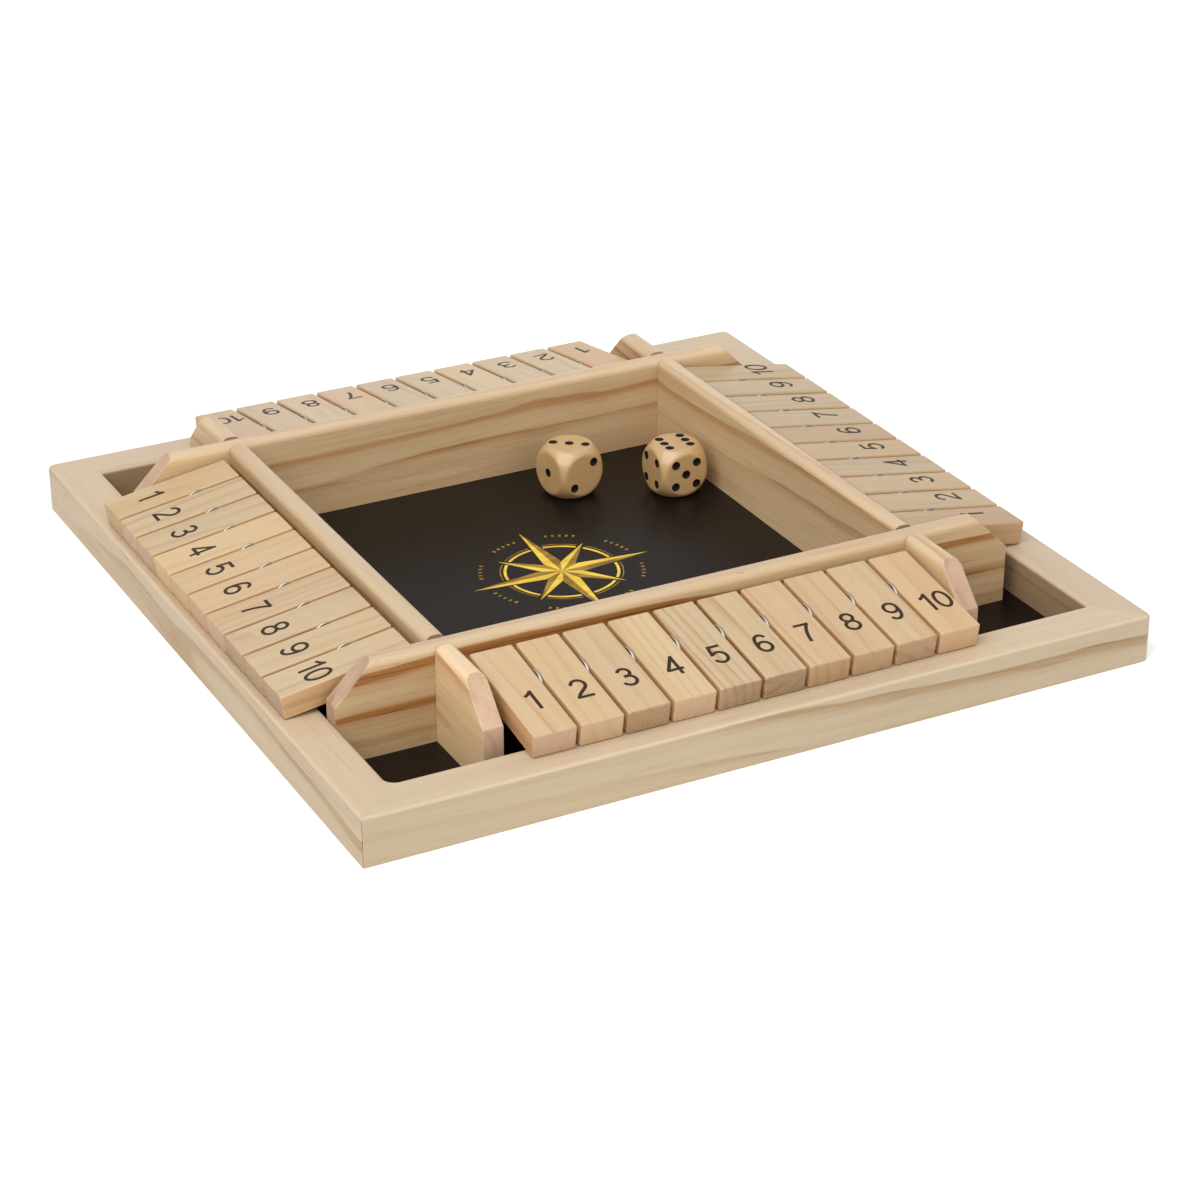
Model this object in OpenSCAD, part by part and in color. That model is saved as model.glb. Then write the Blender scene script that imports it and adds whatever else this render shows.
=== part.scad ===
// Four-player flip-tile dice game: a low square pine frame round a black floor board, a grid of
// walls that makes a dice tray in the middle, and a row of ten numbered tiles on each side, each
// row threaded on a steel rod. A tile lies on the frame at rest and is flipped up and over against
// the tray wall when it is played. Millimetres, +Z up, origin under the middle of the frame.

/* [Frame] */
// Outer side of the square frame
frame_side = 301; // [280:1:340]
// Height of the frame's rails
frame_h = 18; // [15:0.5:22]
// Width of a rail, seen from above
rail_w = 15.5; // [12:0.5:20]
// Rounding along the top edges of the rails
rail_edge_r = 1.5; // [0.5:0.1:3]
// Rounding of the frame's outer corners
corner_r = 3; // [1.5:0.1:6]
// Rounding of the one outer corner that was left nearly sharp, at the front left
sharp_corner_r = 0.8; // [0.5:0.1:3]
// Rounding of the opening's corner behind that one
inner_corner_r = 4; // [2:0.1:6]

/* [Floor board] */
// Thickness of the floor board, and depth of the rabbet that holds it
floor_t = 3; // [2:0.1:5]
// Width of the rabbet under the rails
rabbet_w = 6; // [4:0.5:9]
// Play between the edge of the board and the rabbet
floor_play = 0.2; // [0.1:0.05:0.5]

/* [Walls] */
// Thickness of the walls and end plates
wall_t = 7.5; // [6:0.25:9]
// Height of the walls above the floor board
wall_h = 35.5; // [33:0.5:42]
// Rounding along the walls' top edges
wall_top_r = 3; // [1:0.1:3]
// Width of the row of tiles, from the tray wall to the inner face of a rail
row_depth = 40; // [39:0.5:46]
// How far the end plates stop short of the rails, before the grid of walls is shifted
plate_gap = 4; // [3.5:0.1:6]
// Length of the slanted cut on the top corner of each end plate, along and down
plate_cut = 14; // [8:0.5:16]
// Hairline left in the butt joints between the walls
butt_gap = 0.15; // [0.05:0.05:0.4]
// How far the grid of walls sits to the right of the frame's middle
grid_shift_x = -2.9; // [-3:0.1:3]
// How far the grid of walls sits behind the frame's middle
grid_shift_y = 3; // [-3:0.1:3]

/* [Tiles] */
// Thickness of a tile
tile_t = 9; // [7:0.25:10]
// Gap between neighbouring tiles, which holds a washer
tile_gap = 1.4; // [1.3:0.05:2.4]
// Space between the last tile of a row and the end plate
row_end_gap = 2.5; // [1:0.1:5]
// How far the front row has slid along its rod, as a share of the space at its end
front_row_slide = 0.4; // [-0.9:0.01:0.9]
// The same for the right row
right_row_slide = 0.01; // [-0.9:0.01:0.9]
// The same for the back row
back_row_slide = 0.82; // [-0.9:0.01:0.9]
// The same for the left row
left_row_slide = -0.36; // [-0.9:0.01:0.9]
// Distance from a tile's inner end to the rod
short_arm = 17.8; // [14:0.1:18]
// How far a tile's outer edge lies over the rail, before the grid of walls is shifted
tile_lap = 9.5; // [6.5:0.1:10.5]
// Rounding of the tile's edges
tile_edge_r = 0.8; // [0.4:0.1:1.5]
// Hairline under what rests by its own weight: a tile on the rail, or a die on the floor board
seat_gap = 0.1; // [0.05:0.05:0.3]
// Space between the wall and a tile's inner end as it swings past
swing_gap = 1.3; // [1:0.1:3]

/* [Rods and washers] */
// Diameter of the steel rods
rod_d = 3; // [2:0.1:4]
// Height of a rod's axis above the top of the rails
rod_rise = 9.3; // [8:0.1:11]
// Depth of the rods' blind holes in the end plates
rod_seat = 5; // [3:0.1:5.5]
// Radial play of a tile on its rod
rod_play = 0.08; // [0.02:0.01:0.1]
// Radial play of a rod in its end plate
rod_fit = 0.03; // [0.02:0.01:0.1]
// Space left at each end of a rod in its blind hole
rod_end_gap = 0.3; // [0.1:0.05:0.8]
// How far a washer's rim stands above and below the tiles
washer_proud = 0.45; // [0.3:0.05:1.5]
// Thickness of a washer
washer_t = 1; // [0.6:0.05:1.2]
// Radial play of a washer on its rod
washer_play = 0.1; // [0.05:0.01:0.4]

/* [Dice] */
// Side of a die
die_side = 20; // [14:0.5:22]
// Length cut off each corner by the die's rounding, along the diagonal
die_corner_cut = 4.2; // [2.5:0.1:4.6]
// Diameter of a pip
pip_d = 3; // [2:0.1:3.6]
// Depth of a pip's dimple
pip_depth = 0.5; // [0.3:0.05:1]
// Distance from one pip to the next in its row
pip_pitch = 4.5; // [3.8:0.1:4.6]
// Gap from the first die to the right wall
die_1_right = 42.6; // [38:0.1:90]
// Gap from the first die to the back wall
die_1_back = 15.3; // [6:0.1:100]
// Turn of the first die, in degrees
die_1_turn = 8.2; // [-15:0.1:15]
// Gap from the second die to the right wall
die_2_right = 5.7; // [4:0.1:8]
// Gap from the second die to the back wall
die_2_back = 33; // [6:0.1:100]
// Turn of the second die, in degrees
die_2_turn = -1.7; // [-5:0.1:5]

/* [Hidden] */
$fn = 64;
over = 1; // how far a cutting shape runs past what it cuts
ROWS = ["front", "right", "back", "left"]; // row i faces outward at 90 * i - 90 degrees
tile_count = 10;

pine = "#ddc49c";
pine_dark = "#c9ad82";
black = "#2a2725";
steel = "#c4c6c8";
die_wood = "#e0bd8a";

// The tray's half side, and the walls' outer face, measured from the middle of the grid
opening_half = frame_side / 2 - rail_w;
wall_out = opening_half - row_depth;
tray_half = wall_out - wall_t;
plate_end = opening_half - plate_gap;

// Each row fits between its two end plates
tile_w = (2 * tray_half - 2 * row_end_gap - (tile_count - 1) * tile_gap) / tile_count;
tile_pitch = tile_w + tile_gap;
row_slides = row_end_gap * [front_row_slide, right_row_slide, back_row_slide, left_row_slide];

// The rod stands off the wall by the swing of the tile's short end
swing_r = norm([short_arm, tile_t / 2]);
rod_out = wall_out + swing_gap + swing_r;
rod_z = frame_h + rod_rise;

// The long arm and the tilt put the rounded outer edge on the rail
edge_out = opening_half + tile_lap - tile_edge_r - rod_out;
edge_down = rod_z - frame_h - seat_gap - tile_edge_r;
edge_below = tile_t / 2 - tile_edge_r;
edge_along = sqrt(edge_out * edge_out + edge_down * edge_down - edge_below * edge_below);
tile_tilt = atan2(edge_down, edge_out) - atan2(edge_below, edge_along);
tile_len = short_arm + edge_along + tile_edge_r;

// A flipped tile leans its number face on the rounded top of the wall
lean_in = rod_out - wall_out + wall_top_r;
lean_up = floor_t + wall_h - wall_top_r - rod_z;
lean_gap = 0.3;
lean_reach = (tile_t / 2 + wall_top_r + lean_gap) / norm([lean_in, lean_up]);
echo(tile_flips_through_degrees = 90 + tile_tilt + acos(lean_reach) - atan2(lean_up, lean_in));

die_ball_r = die_side * sqrt(3) / 2 - die_corner_cut;
pip_ball_r = (pip_d * pip_d / 4 + pip_depth * pip_depth) / (2 * pip_depth);

// A rectangle with its corner at the origin and all four corners rounded
module eased_rectangle(w, h, r) {
    translate([r, 0]) square([w - 2 * r, h]);
    translate([0, r]) square([w, h - 2 * r]);
    for (x = [r, w - r], y = [r, h - r]) translate([x, y]) circle(r);
}

// A rectangle centred on x = 0 that stands on y = 0, with its two top corners rounded
module round_topped(w, h, r) {
    translate([-w / 2, 0]) square([w, h - r]);
    translate([r - w / 2, 0]) square([w - 2 * r, h]);
    for (x = [r - w / 2, w / 2 - r]) translate([x, h - r]) circle(r);
}

// What a square corner at the origin loses when it is rounded, on the +x +y side
module corner_waste(r) {
    difference() {
        square(r);
        translate([r, r]) circle(r);
    }
}

// Turns row i's own frame, with +x outward and +y along the row, into its place on the grid
module in_row(i) {
    translate([grid_shift_x, grid_shift_y, 0]) rotate(90 * i - 90) children();
}

// The plan of the rail on side i: a mitred strip, with the frame's corners rounded
module rail_plan(i) {
    half = frame_side / 2;
    difference() {
        polygon([[opening_half, -opening_half], [half, -half], [half, half],
            [opening_half, opening_half]]);
        translate([half, -half]) mirror([1, 0]) corner_waste(i == 0 ? sharp_corner_r : corner_r);
        translate([half, half]) rotate(180) corner_waste(i == 3 ? sharp_corner_r : corner_r);
    }
}

// Half of the fillet in the opening's front left corner, up to the mitre, on the side where
// end is -1 or 1 along the rail
module half_fillet(end) {
    scale([1, end, 1]) translate([0, 0, floor_t]) linear_extrude(frame_h - floor_t) intersection() {
        translate([opening_half, opening_half]) rotate(180) corner_waste(inner_corner_r);
        polygon([[opening_half, opening_half], [opening_half, 0], [0, 0]]);
    }
}

// One mitred rail, with rounded top edges and the rabbet for the floor board underneath
module frame_rail(i) {
    reach = frame_side + 2 * over;
    color(pine) rotate(90 * i - 90) {
        difference() {
            intersection() {
                linear_extrude(frame_h) rail_plan(i);
                translate([frame_side / 2 - rail_w / 2, reach / 2, 0]) rotate([90, 0, 0])
                    linear_extrude(reach) round_topped(rail_w, frame_h, rail_edge_r);
            }
            translate([opening_half - over, -reach / 2, -over])
                cube([rabbet_w + over, reach, floor_t + over]);
        }
        if (i == 0) half_fillet(-1);
        if (i == 3) half_fillet(1);
    }
}

// The black board under the whole game, held in the rabbets
module floor_board() {
    half = opening_half + rabbet_w - floor_play;
    color(black) translate([-half, -half, 0]) cube([2 * half, 2 * half, floor_t]);
}

// A blind hole for a rod, entered from y = 0 and drilled towards +y
module rod_hole() {
    translate([rod_out, -over, rod_z]) rotate([-90, 0, 0])
        cylinder(h = rod_seat + over, r = rod_d / 2 + rod_fit);
}

// The long front or back wall, whose two ends are the end plates of the side rows
module long_wall(i) {
    color(pine) in_row(i) difference() {
        intersection() {
            translate([tray_half, 0, floor_t]) rotate([90, 0, 90]) linear_extrude(wall_t)
                polygon([[-plate_end, 0], [plate_end, 0], [plate_end, wall_h - plate_cut],
                    [plate_end - plate_cut, wall_h], [plate_cut - plate_end, wall_h],
                    [-plate_end, wall_h - plate_cut]]);
            translate([tray_half + wall_t / 2, plate_end, floor_t]) rotate([90, 0, 0])
                linear_extrude(2 * plate_end) round_topped(wall_t, wall_h, wall_top_r);
        }
        for (hand = [-1, 1]) scale([1, hand, 1]) translate([tray_half, 0, 0]) rotate(90)
            mirror([0, 1, 0]) rod_hole();
    }
}

// The left or right wall of the tray, between the two long ones
module short_wall(i) {
    half = tray_half - butt_gap;
    color(pine_dark) in_row(i) translate([tray_half + wall_t / 2, half, floor_t]) rotate([90, 0, 0])
        linear_extrude(2 * half) round_topped(wall_t, wall_h, wall_top_r);
}

// An end plate of the front or back row, standing against the long wall
module end_plate(i, hand) {
    start = wall_out + butt_gap;
    side = tray_half * hand + (hand > 0 ? 0 : -wall_t);
    color(pine) in_row(i) difference() {
        intersection() {
            translate([0, side + wall_t, floor_t]) rotate([90, 0, 0]) linear_extrude(wall_t)
                polygon([[start, 0], [plate_end, 0], [plate_end, wall_h - plate_cut],
                    [plate_end - plate_cut, wall_h], [start, wall_h]]);
            translate([start, side + wall_t / 2, floor_t]) rotate([90, 0, 90])
                linear_extrude(plate_end - start) round_topped(wall_t, wall_h, wall_top_r);
        }
        scale([1, hand, 1]) translate([0, tray_half, 0]) rod_hole();
    }
}

// The steel rod that a row of tiles turns on
module hinge_rod(i) {
    length = 2 * (tray_half + rod_seat - rod_end_gap);
    color(steel) in_row(i) translate([rod_out, 0, rod_z]) rotate([90, 0, 0])
        cylinder(h = length, d = rod_d, center = true);
}

// The washers that keep the tiles of every row apart
module spacer_washers() {
    color(steel) for (i = [0 : 3]) in_row(i) for (k = [1 : tile_count - 1])
        translate([rod_out, row_slides[i] + (k - tile_count / 2) * tile_pitch, rod_z])
        rotate([90, 0, 0]) difference() {
            cylinder(h = washer_t, d = tile_t + 2 * washer_proud, center = true);
            cylinder(h = washer_t + over, r = rod_d / 2 + washer_play, center = true);
        }
}

// A tile with its rod hole at the origin and its long arm towards +x
module tile_blank() {
    difference() {
        intersection() {
            translate([-short_arm, tile_w / 2, -tile_t / 2]) rotate([90, 0, 0])
                linear_extrude(tile_w) eased_rectangle(tile_len, tile_t, tile_edge_r);
            translate([-short_arm, -tile_w / 2, -tile_t / 2]) rotate([90, 0, 90])
                linear_extrude(tile_len) eased_rectangle(tile_w, tile_t, tile_edge_r);
        }
        rotate([90, 0, 0]) cylinder(h = tile_w + over, r = rod_d / 2 + rod_play, center = true);
    }
}

// Tile n of row i, lying with its outer edge on the rail
module tile(i, n) {
    shade = 0.96 + 0.04 * cos(137 * (n + 3 * i)); // the boards that tiles are cut from differ a little
    along = row_slides[i] + (n - (tile_count + 1) / 2) * tile_pitch;
    color([0.87 * shade, 0.77 * shade, 0.62 * shade]) in_row(i)
        translate([rod_out, along, rod_z]) rotate([0, tile_tilt, 0]) tile_blank();
}

// The places of the pips for each number, in steps from the middle of the face
function pips(n) =
    n == 1 ? [[0, 0]] :
    n == 2 ? [[-1, -1], [1, 1]] :
    n == 3 ? [[-1, 1], [0, 0], [1, -1]] :
    n == 6 ? [for (x = [-1, 1], y = [-1, 0, 1]) [x, y]] :
    concat([for (x = [-1, 1], y = [-1, 1]) [x, y]], n == 5 ? [[0, 0]] : []);

// A rounded wooden die on the floor board. Opposite faces add up to seven.
module die(right, back, turn, top, front, left) {
    half = die_side / 2;
    faces = [[top, [0, 0, 0]], [7 - top, [180, 0, 0]], [front, [90, 0, 0]], [7 - front, [-90, 0, 0]],
        [left, [0, -90, 0]], [7 - left, [0, 90, 0]]];
    color(die_wood)
        translate([grid_shift_x + tray_half - right - half, grid_shift_y + tray_half - back - half,
            floor_t + seat_gap + half]) rotate(turn) difference() {
            intersection() {
                cube(die_side, center = true);
                sphere(die_ball_r);
            }
            for (face = faces) rotate(face[1]) for (p = pips(face[0]))
                translate([p.x * pip_pitch, p.y * pip_pitch, half + pip_ball_r - pip_depth])
                    sphere(pip_ball_r);
        }
}

module die_1() {
    die(die_1_right, die_1_back, die_1_turn, top = 3, front = 2, left = 1);
}

module die_2() {
    die(die_2_right, die_2_back, die_2_turn, top = 6, front = 5, left = 4);
}

for (i = [0 : 3])
    frame_rail(i);
floor_board();
long_wall(0);  // front_wall
long_wall(2);  // back_wall
short_wall(1);  // right_wall
short_wall(3);  // left_wall
end_plate(0, -1);  // end_plate_front_left
end_plate(0, 1);  // end_plate_front_right
end_plate(2, 1);  // end_plate_back_left
end_plate(2, -1);  // end_plate_back_right
for (i = [0 : 3])
    hinge_rod(i);
spacer_washers();
for (i = [0 : 3], n = [1 : tile_count])
    tile(i, n);
die_1();
die_2();
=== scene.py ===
import math
import random

import bmesh
import bpy
import numpy as np
from mathutils import Matrix, Vector
from mathutils.geometry import delaunay_2d_cdt


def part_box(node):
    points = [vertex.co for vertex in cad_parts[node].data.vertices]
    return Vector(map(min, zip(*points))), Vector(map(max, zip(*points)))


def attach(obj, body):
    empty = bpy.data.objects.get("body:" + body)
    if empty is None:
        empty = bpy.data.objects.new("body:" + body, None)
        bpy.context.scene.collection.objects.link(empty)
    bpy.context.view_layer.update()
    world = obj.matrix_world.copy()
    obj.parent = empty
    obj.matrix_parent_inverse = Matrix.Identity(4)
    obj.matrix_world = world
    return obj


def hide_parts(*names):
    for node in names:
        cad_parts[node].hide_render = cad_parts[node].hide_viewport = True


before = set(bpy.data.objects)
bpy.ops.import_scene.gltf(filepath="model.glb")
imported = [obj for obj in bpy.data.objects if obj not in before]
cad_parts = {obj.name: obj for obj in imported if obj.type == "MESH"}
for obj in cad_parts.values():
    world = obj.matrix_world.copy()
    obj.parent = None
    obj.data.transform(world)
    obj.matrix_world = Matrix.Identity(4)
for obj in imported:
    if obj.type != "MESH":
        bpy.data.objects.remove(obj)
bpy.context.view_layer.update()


# ---- The studio -------------------------------------------------------------------------------
# A wide soft box on the left, a weaker one in front and a low strip behind, in surroundings so
# bright that shadows stay faint. The camera looks down from beyond the board's front left corner.

def srgb(red, green, blue):
    """A colour given on a 0 to 255 scale, as the linear colour that a shader takes."""
    linear = [((c / 255 + 0.055) / 1.055) ** 2.4 for c in (red, green, blue)]
    return (*linear, 1.0)


def aim(thing, azimuth, elevation, distance, target):
    """Stands a camera or light at a distance from its target, looking at it."""
    turn, rise = math.radians(azimuth), math.radians(elevation)
    back = Vector((math.sin(turn) * math.cos(rise), -math.cos(turn) * math.cos(rise), math.sin(rise)))
    thing.location = Vector(target) + back * distance
    thing.rotation_euler = (-back).to_track_quat("-Z", "Y").to_euler()
    bpy.context.scene.collection.objects.link(thing)


lens = bpy.data.cameras.new("camera")
lens.lens, lens.sensor_width = 93.79, 36.0
lens.clip_start, lens.clip_end = 0.05, 50.0
camera = bpy.data.objects.new("camera", lens)
aim(camera, azimuth=-27.59, elevation=26.74, distance=1.1403, target=(0.0013, -0.0193, 0.0))
bpy.context.scene.camera = camera

for name, azimuth, elevation, distance, width, height, power in (
    ("left_softbox", -54, 51, 2.4, 2.2, 2.2, 46.0),
    ("front_fill", 10, 28, 4.0, 3.0, 3.0, 24.0),
    ("back_strip", 156, 9, 4.0, 3.0, 0.5, 15.0),
):
    light = bpy.data.lights.new(name, "AREA")
    light.shape, light.size, light.size_y, light.energy = "RECTANGLE", width, height, power
    aim(bpy.data.objects.new(name, light), azimuth, elevation, distance, target=(0, 0, 0))

surroundings = bpy.data.worlds.new("surroundings")
surroundings.use_nodes = True
backdrop = surroundings.node_tree.nodes["Background"].inputs
backdrop["Color"].default_value = (1.0, 0.995, 0.985, 1.0)
backdrop["Strength"].default_value = 0.62
bpy.context.scene.world = surroundings
bpy.context.scene.view_settings.view_transform = "Standard"


# ---- Frame rails ------------------------------------------------------------------------------
# Four pale pine rails, moulded with rounded top edges and a rabbet underneath, mitred and glued
# into a square. The outer corners were rounded on the sander, except the one at the front left,
# where the glued mitre shows as a fine dark line.

MM = 0.001


class Socket:
    """An output of a shader node. Arithmetic on it adds the Math nodes that work it out."""

    def __init__(self, tree, output=None):
        self.tree, self.output = tree, output

    def add(self, kind, settings=None, inputs=None, output=0):
        """Adds a node of any kind, makes its settings, then fills or links its inputs."""
        node = self.tree.nodes.new("ShaderNode" + kind)
        for key, setting in (settings or {}).items():
            setattr(node, key, setting)
        for key, value in (inputs or {}).items():
            if isinstance(value, Socket):
                self.tree.links.new(value.output, node.inputs[key])
            else:
                node.inputs[key].default_value = value
        return Socket(self.tree, node.outputs[output])

    def maths(self, operation, first, second=0.0):
        return self.add("Math", {"operation": operation}, {0: first, 1: second})

    def __add__(self, other):
        return self.maths("ADD", self, other)

    def __sub__(self, other):
        return self.maths("SUBTRACT", self, other)

    def __rsub__(self, other):
        return self.maths("SUBTRACT", other, self)

    def __mul__(self, other):
        return self.maths("MULTIPLY", self, other)

    def __truediv__(self, other):
        return self.maths("DIVIDE", self, other)

    def __pow__(self, other):
        return self.maths("POWER", self, other)

    __radd__, __rmul__ = __add__, __mul__

    def part(self, axis):
        """One component of a vector."""
        return self.add("SeparateXYZ", inputs={0: self}, output="XYZ"[axis])

    def scaled(self, factor):
        """A colour or vector made brighter or longer."""
        return self.add("VectorMath", {"operation": "SCALE"}, {0: self, "Scale": factor})

    def noise(self, sizes, detail=2.0, roughness=0.5):
        """Noise round 0.5, whose lumps have one size, or three sizes along x, y and z."""
        lumps = sizes if isinstance(sizes, tuple) else (sizes, sizes, sizes)
        spread = self.add("VectorMath", {"operation": "DIVIDE"}, {0: self, 1: lumps})
        inputs = {"Vector": spread, "Scale": 1.0, "Detail": detail, "Roughness": roughness}
        return self.add("TexNoise", inputs=inputs)

    def ramp(self, low, high):
        """A soft step, from 0 where this is below low to 1 where it is above high."""
        return self.add("MapRange", {"interpolation_type": "SMOOTHSTEP"},
                        {"Value": self, "From Min": low, "From Max": high})

    def blend(self, under, over):
        """A colour that goes from under to over as this goes from 0 to 1."""
        return self.add("Mix", {"data_type": "RGBA"}, {0: self, 6: under, 7: over}, 2)

    def stored(self, name, output="Vector"):
        """What a piece's mesh keeps under this name."""
        return self.add("Attribute", {"attribute_name": name}, output=output)

    def surface(self):
        """Where on its object a point lies, in metres."""
        return self.add("TexCoord", output="Object")


def new_finish(name, **shader_values):
    """A new material. Returns it with its shader node and a socket to start expressions from."""
    finish = bpy.data.materials.new(name)
    finish.use_nodes = True
    shader = finish.node_tree.nodes["Principled BSDF"]
    for key, value in shader_values.items():
        shader.inputs[key.replace("_", " ")].default_value = value
    return finish, shader, Socket(finish.node_tree)


def apply_to(shader, key, value):
    """Links an expression to one of the shader's inputs."""
    shader.id_data.links.new(value.output, shader.inputs[key])


def relief(height, depth):
    """A Bump node's normal for a height between 0 and 1, over a depth in metres."""
    return height.add("Bump", inputs={"Height": height, "Distance": depth, "Strength": 1.0})


def pine(name, sapwood, latewood, resin, painted_side_shades, contrast=1.0, on_top=0.4):
    """Sanded pine, read from where in its log each point of a board was cut, in millimetres.
    painted_side_shades are painted shade colours for a board's sides towards -y and +y, contrast is
    how dark its late wood looks, and on_top how much of that shows on its top."""
    finish, shader, start = new_finish(name, Specular_IOR_Level=0.6)
    grain, tone_blush_figure, facing = (start.stored(key) for key in ("grain", "tone_blush_figure", "facing"))
    tone, blush, figure = (tone_blush_figure.part(axis) for axis in range(3))
    end, side = facing.part(0).ramp(0.35, 0.8), (facing.part(1) * facing.part(1)).ramp(0.5, 1.0)
    shows = on_top + (1 - on_top) * (side + end)
    faintly = 0.4 + 0.6 * shows

    # Growth rings: the distance from the pith, with the slow wander of a real trunk
    across, up = grain.part(1), grain.part(2)
    wander = (grain.noise((300, 60, 60), 1.0) - 0.5) * 13 + (grain.noise((70, 14, 14), 2.0) - 0.5) * 3.0
    radius = (across * across + up * up) ** 0.5 + wander
    crowding = (grain.noise((2500, 26, 26), 0.0) - 0.5) * 2.2
    years = radius / start.stored("ring_width", "Fac") + crowding
    season = years.maths("FRACT", years)
    late = 0.35 * season.ramp(0.3, 0.85) + 0.65 * season.ramp(0.62, 0.9)
    latest = late * (1 - season.ramp(0.93, 1.0))
    strong = grain.noise((260, 7, 7), 1.0).ramp(0.4, 0.62)
    ring = latest * (0.2 + 0.8 * strong) * figure * shows

    # Long fibres, broad warm or pale stretches, short resin marks, and dark veins in the late wood
    fibre = grain.noise((34, 0.5, 0.5), 3.0, 0.62)
    stretch = grain.noise((150, 6, 6), 2.0).ramp(0.44, 0.74)
    streak = grain.noise((90, 0.9, 0.9), 2.0).ramp(0.56, 0.76) * stretch
    dashes = grain.noise((5.5, 0.34, 0.34), 1.0).ramp(0.675, 0.75)
    marks = dashes * grain.noise((60, 9, 9), 1.0).ramp(0.5, 0.66)
    veins = grain.noise((30, 0.55, 0.55), 1.0).ramp(0.57, 0.7) * latest.ramp(0.15, 0.5) * strong
    pores = grain.noise((0.5, 0.3, 0.3), 2.0, 0.7)

    # The sides are blended towards painted shade colours, darker or warmer than the top, which stand in
    # for the shade that falls on them
    painted_side_shade = facing.part(1).ramp(-0.2, 0.2).blend(*painted_side_shades)
    colour = (side * 0.6).blend(sapwood, painted_side_shade)
    colour = (ring * contrast).blend(colour, latewood)
    colour = (stretch * 0.26 * contrast * faintly).blend(colour, latewood)
    colour = (streak * figure * 0.42).blend(colour, latewood)
    colour = (fibre.ramp(0.42, 0.75) * 0.38 * faintly).blend(colour, latewood)
    colour = (marks * (1 - end) * 0.5 * figure).blend(colour, resin)
    colour = (veins * (1 - end) * 0.55 * figure * shows).blend(colour, resin)

    # End grain drinks the finish: it is darker, pinker or browner, and speckled with pores
    pinker, browner = srgb(170, 138, 118), srgb(130, 101, 64)
    thirst = grain.noise((60, 200, 200), 0.0).ramp(0.42, 0.58).blend(pinker, browner)
    colour = (end * (0.52 + 0.46 * pores.ramp(0.38, 0.66))).blend(colour, thirst)

    # The tint of the whole board, rosy or yellow, and its tone, which on the right row of tiles includes
    # painted shade
    colour = blush.blend(colour, srgb(207, 163, 118))
    colour = (0 - blush).blend(colour, srgb(216, 181, 132))
    shade = tone * (0.95 + 0.1 * fibre) * (1.05 - 0.1 * grain.noise((120, 22, 22), 1.0))
    apply_to(shader, "Base Color", colour.scaled(shade))
    apply_to(shader, "Roughness", 0.42 + 0.14 * fibre + 0.16 * end - 0.06 * ring)
    height = 0.55 * fibre + 0.3 * ring + 0.5 * end * pores - 0.3 * marks
    apply_to(shader, "Normal", relief(height, 0.00009))
    return finish


def shade_crisp(mesh):
    """Smooth shading on the rounded edges, and not across the crisp ones."""
    mesh.shade_smooth()
    mesh.set_sharp_from_angle(angle=math.radians(32))


def into_scene(name, bm):
    """Makes a finished mesh into an object in the scene."""
    mesh = bpy.data.meshes.new(name)
    bmesh.ops.recalc_face_normals(bm, faces=bm.faces)
    bm.to_mesh(mesh)
    bm.free()
    shade_crisp(mesh)
    piece = bpy.data.objects.new(name, mesh)
    bpy.context.scene.collection.objects.link(piece)
    piece.modifiers.new("face weighted shading", "WEIGHTED_NORMAL").keep_sharp = True
    return piece


def cut_from_log(piece, finish, pith, along=0.0, slope=(0.0, 0.0), tone=1.0, blush=0.0, figure=1.0,
                 rings=5.0):
    """Stores which wood a piece has, while its mesh still lies along x. pith is the way across
    the log from its pith in mm, along the place up the trunk, slope how the grain runs off, tone
    how light the wood is, which on the tiles also holds their row's darkening, painted shade on
    the right row, blush how rosy, or how yellow if below 0, figure how clearly its rings show,
    and rings how many mm they are apart."""
    mesh = piece.data
    points = np.empty(len(mesh.vertices) * 3)
    mesh.vertices.foreach_get("co", points)
    points = points.reshape(-1, 3) / MM
    points[:, 1] += pith[0] + slope[0] * points[:, 0]
    points[:, 2] += pith[1] + slope[1] * points[:, 0]
    points[:, 0] += along
    mesh.attributes.new("grain", "FLOAT_VECTOR", "POINT").data.foreach_set("vector", points.ravel())
    tone_blush_figure = np.tile((tone, blush, figure), len(mesh.vertices))
    mesh.attributes.new("tone_blush_figure", "FLOAT_VECTOR", "POINT").data.foreach_set("vector", tone_blush_figure)
    spacing = np.full(len(mesh.vertices), rings)
    mesh.attributes.new("ring_width", "FLOAT", "POINT").data.foreach_set("value", spacing)
    facing = [part for face in mesh.polygons for part in (abs(face.normal.x), *face.normal.yz)]
    mesh.attributes.new("facing", "FLOAT_VECTOR", "FACE").data.foreach_set("vector", facing)
    mesh.materials.append(finish)


def fitted(piece, place, body, slot, *nodes):
    """Puts a piece in its place, on its body, and for its CAD nodes."""
    piece.data.transform(place)
    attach(piece, body)
    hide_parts(*nodes)


def tube(bm, rings):
    """Faces between rings of points, each joined to the next, with both ends closed."""
    made = [[bm.verts.new(point) for point in ring] for ring in rings]
    count = len(made[0])
    for ring, following in zip(made, made[1:]):
        for k in range(count):
            j = (k + 1) % count
            bm.faces.new((ring[k], ring[j], following[j], following[k]))
    bm.faces.new(reversed(made[0]))
    bm.faces.new(made[-1])


def quarter(centre, radius, start, steps):
    """Points on a quarter of a circle, turning clockwise from the start angle in degrees."""
    angles = [math.radians(start - 90 * k / steps) for k in range(steps + 1)]
    return [(centre[0] + radius * math.cos(a), centre[1] + radius * math.sin(a)) for a in angles]


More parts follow.
